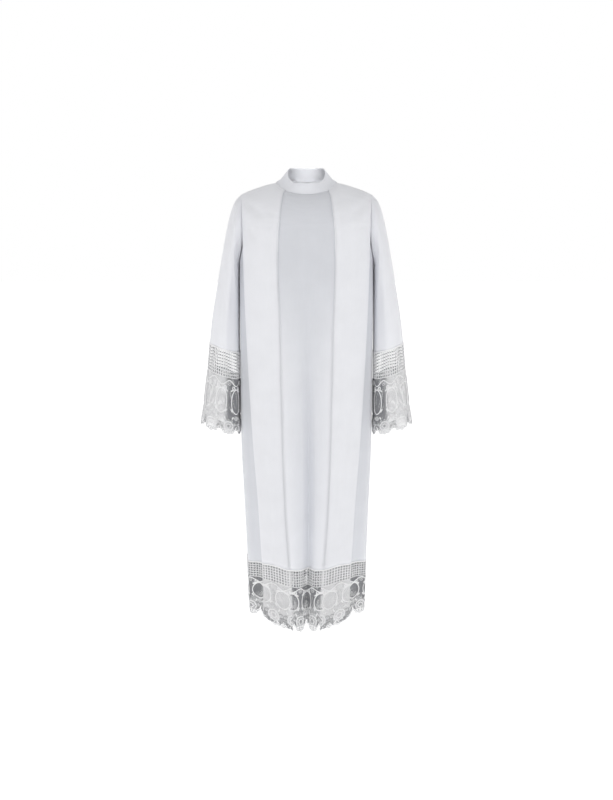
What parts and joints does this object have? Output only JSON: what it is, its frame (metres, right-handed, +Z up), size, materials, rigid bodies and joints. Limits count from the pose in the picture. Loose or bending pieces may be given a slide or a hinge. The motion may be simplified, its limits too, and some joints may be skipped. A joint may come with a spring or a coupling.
{
  "type": "alb robe",
  "caption": "Long white vestment, hanging hollow as worn, with a stand collar, wide sleeves, box pleats and deep scalloped lace at hem and cuffs.",
  "frame": {"origin": "middle of the neck opening, level with the top of the shoulders, where the wearer's shoulders carry the robe", "axes": "+Z up, towards the collar; the front of the robe faces -Y; +X is the wearer's left"},
  "size_m": [0.678, 0.281, 1.4842],
  "materials": {
    "alb_cloth": "smooth plain-woven white polyester and cotton, matt with a slight sheen",
    "alb_lace": "white corded machine lace, matt thread with open mesh"
  },
  "bodies": {
    "root": {"front_centre": "alb_cloth", "front_pleat_left": "alb_cloth", "front_pleat_right": "alb_cloth", "side_left": "alb_cloth", "side_right": "alb_cloth", "back_centre": "alb_cloth", "back_pleat_left": "alb_cloth", "back_pleat_right": "alb_cloth", "collar": "alb_cloth", "sleeve_left": "alb_cloth", "sleeve_right": "alb_cloth", "hem_lace_front": "alb_lace", "hem_lace_front_pleat_left": "alb_lace", "hem_lace_front_pleat_right": "alb_lace", "hem_lace_side_left": "alb_lace", "hem_lace_side_right": "alb_lace", "hem_lace_back": "alb_lace", "hem_lace_back_pleat_left": "alb_lace", "hem_lace_back_pleat_right": "alb_lace", "cuff_lace_left": "alb_lace", "cuff_lace_right": "alb_lace"}
  },
  "joints": []
}
